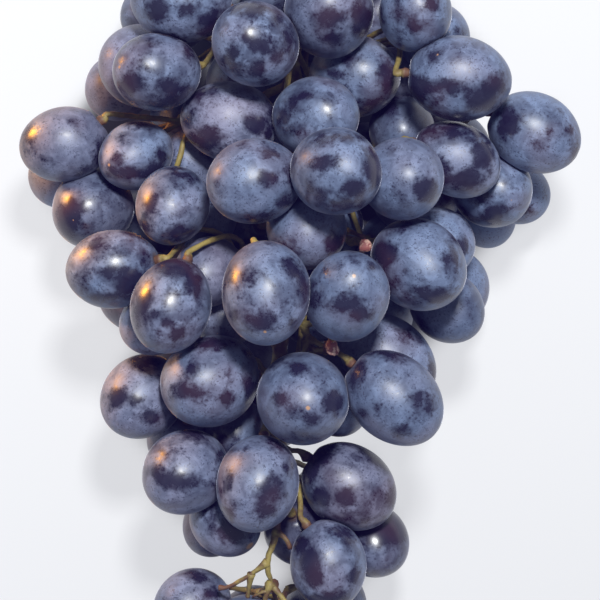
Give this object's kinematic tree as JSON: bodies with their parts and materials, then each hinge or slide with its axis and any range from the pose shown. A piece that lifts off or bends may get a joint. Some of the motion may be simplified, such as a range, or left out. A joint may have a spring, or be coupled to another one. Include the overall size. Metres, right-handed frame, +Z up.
{
  "type": "bunch of grapes",
  "caption": "Tapering bunch of dark oval grapes with a waxy bloom, on a branched green stem, lying on its side on a flat surface.",
  "frame": {"origin": "on the surface that the bunch lies on, under the middle of its outline seen from above", "axes": "+Y along the bunch towards the cut end of the stem, +Z up off the surface, +X to the right seen from above with the stem end away"},
  "size_m": [0.153, 0.2763, 0.0963],
  "materials": {
    "grape_skin": "near-black blue skin under a pale waxy bloom, glossy where the bloom is rubbed off",
    "stem_wood": "matt olive green with brown patches and dry brown cut ends"
  },
  "bodies": {
    "root": {"grapes_crown": "grape_skin", "grapes_heart": "grape_skin", "grapes_left_flank": "grape_skin", "grapes_left_shoulder": "grape_skin", "grapes_low_left": "grape_skin", "grapes_low_right": "grape_skin", "grapes_lower_left": "grape_skin", "grapes_lower_right": "grape_skin", "grapes_middle_front": "grape_skin", "grapes_right_flank": "grape_skin", "grapes_right_shoulder": "grape_skin", "grapes_tip": "grape_skin", "grapes_tip_left": "grape_skin", "grapes_underside_1": "grape_skin", "grapes_underside_2": "grape_skin", "grapes_underside_3": "grape_skin", "grapes_underside_4": "grape_skin", "grapes_underside_5": "grape_skin", "grapes_underside_6": "grape_skin", "grapes_underside_8": "grape_skin", "grapes_underside_9": "grape_skin", "grapes_upper_front": "grape_skin", "grapes_upper_left": "grape_skin", "grapes_upper_right": "grape_skin", "stem": "stem_wood"}
  },
  "joints": []
}
